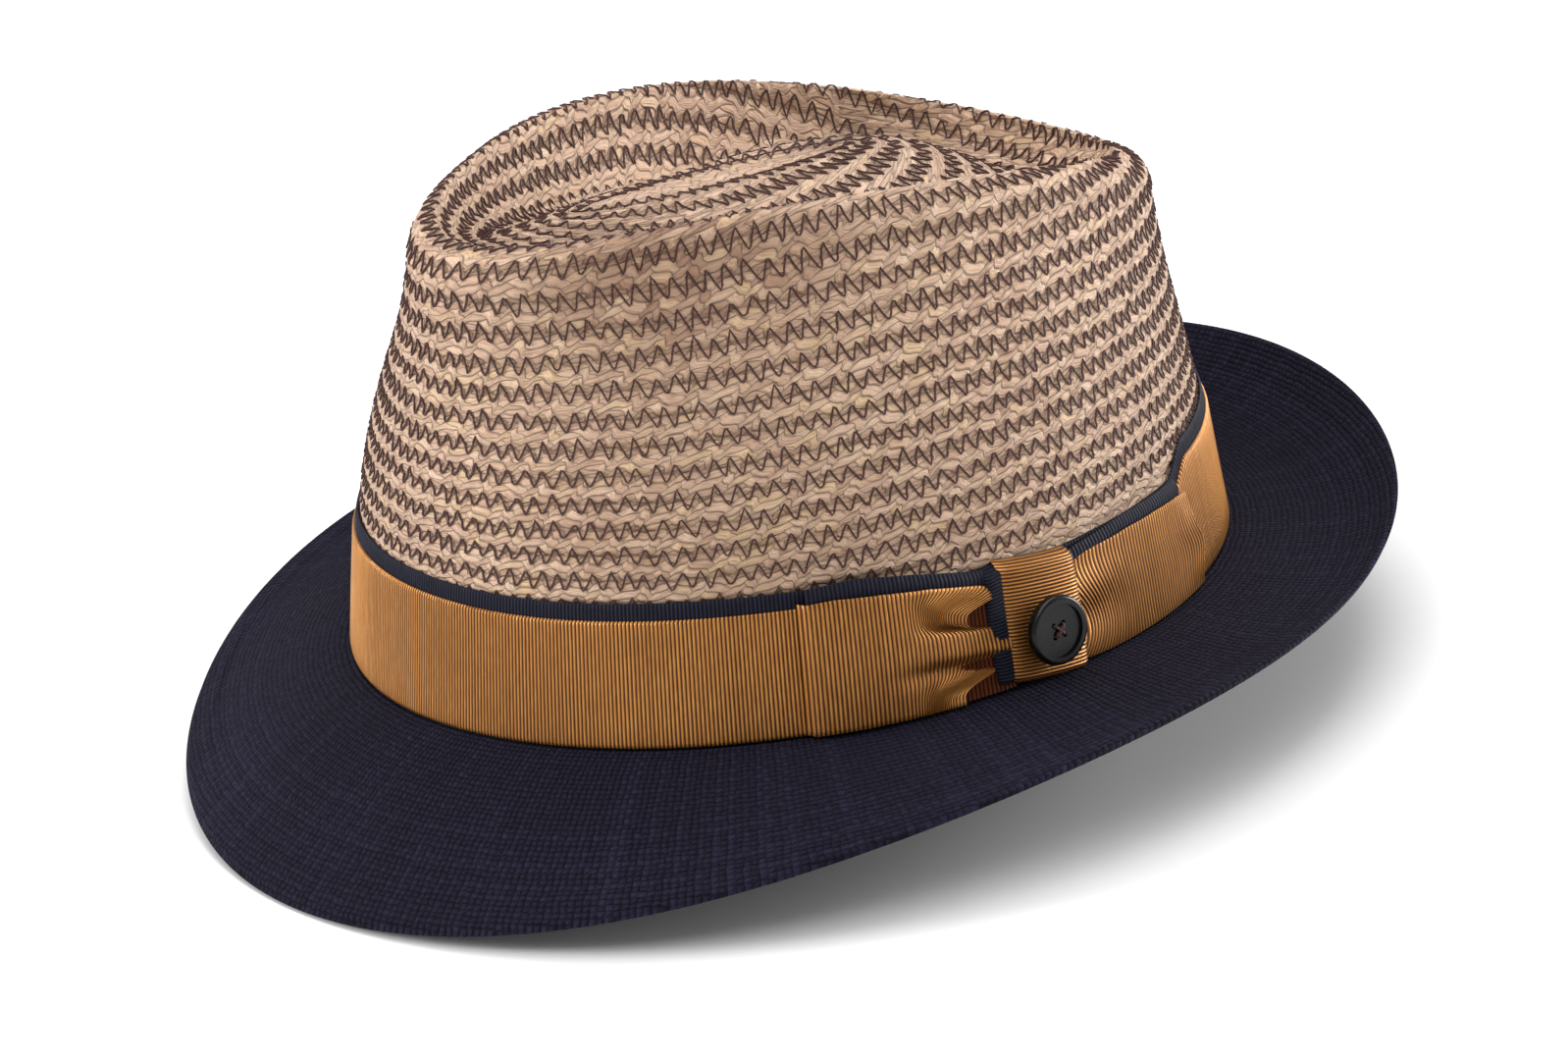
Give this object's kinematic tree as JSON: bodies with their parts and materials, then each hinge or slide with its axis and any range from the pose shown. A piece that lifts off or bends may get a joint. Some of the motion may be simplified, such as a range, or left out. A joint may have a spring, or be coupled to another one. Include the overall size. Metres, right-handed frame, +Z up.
{
  "type": "fedora hat",
  "caption": "Short-brimmed fedora with a stitched straw-braid crown, woven brim, ribbon band with a bow and button on the left, and an inner sweatband.",
  "frame": {"origin": "middle of the head opening, at the level where the brim breaks away from the crown", "axes": "+Z up through the crown, -Y towards the front of the hat, +X towards the wearer's left, where the bow and button sit"},
  "size_m": [0.2406, 0.285, 0.129],
  "materials": {
    "straw": "natural plaited straw, sewn with dark zigzag thread",
    "brim_cloth": "matt coarse plain weave, navy",
    "navy_ribbon": "grosgrain ribbon, navy",
    "gold_ribbon": "grosgrain ribbon with a soft sheen, old gold",
    "button_plastic": "gloss black",
    "thread": "sewing thread, near black",
    "sweat_cotton": "cotton twill tape, dark navy",
    "welt": "covered welt, dark navy"
  },
  "bodies": {
    "hat": {"crown": "straw", "brim": "brim_cloth", "band_navy": "navy_ribbon", "band_gold": "gold_ribbon", "loop_navy": "navy_ribbon", "loop_gold": "gold_ribbon", "tail_navy": "navy_ribbon", "tail_gold": "gold_ribbon", "knot_navy": "navy_ribbon", "knot_gold": "gold_ribbon", "button_shank": "thread", "sweatband": "sweat_cotton", "sweatband_reed": "welt"},
    "button": {"button": "button_plastic"}
  },
  "joints": [
    {"name": "button_swivel", "type": "hinge", "parent": "hat", "child": "button", "pos_m": [0.09027, -0.00777, 0.01158], "axis": [0.9914, -0.0619, 0.1152], "range_deg": [-25, 25], "stiffness_Nm_per_rad": 0.0004}
  ]
}
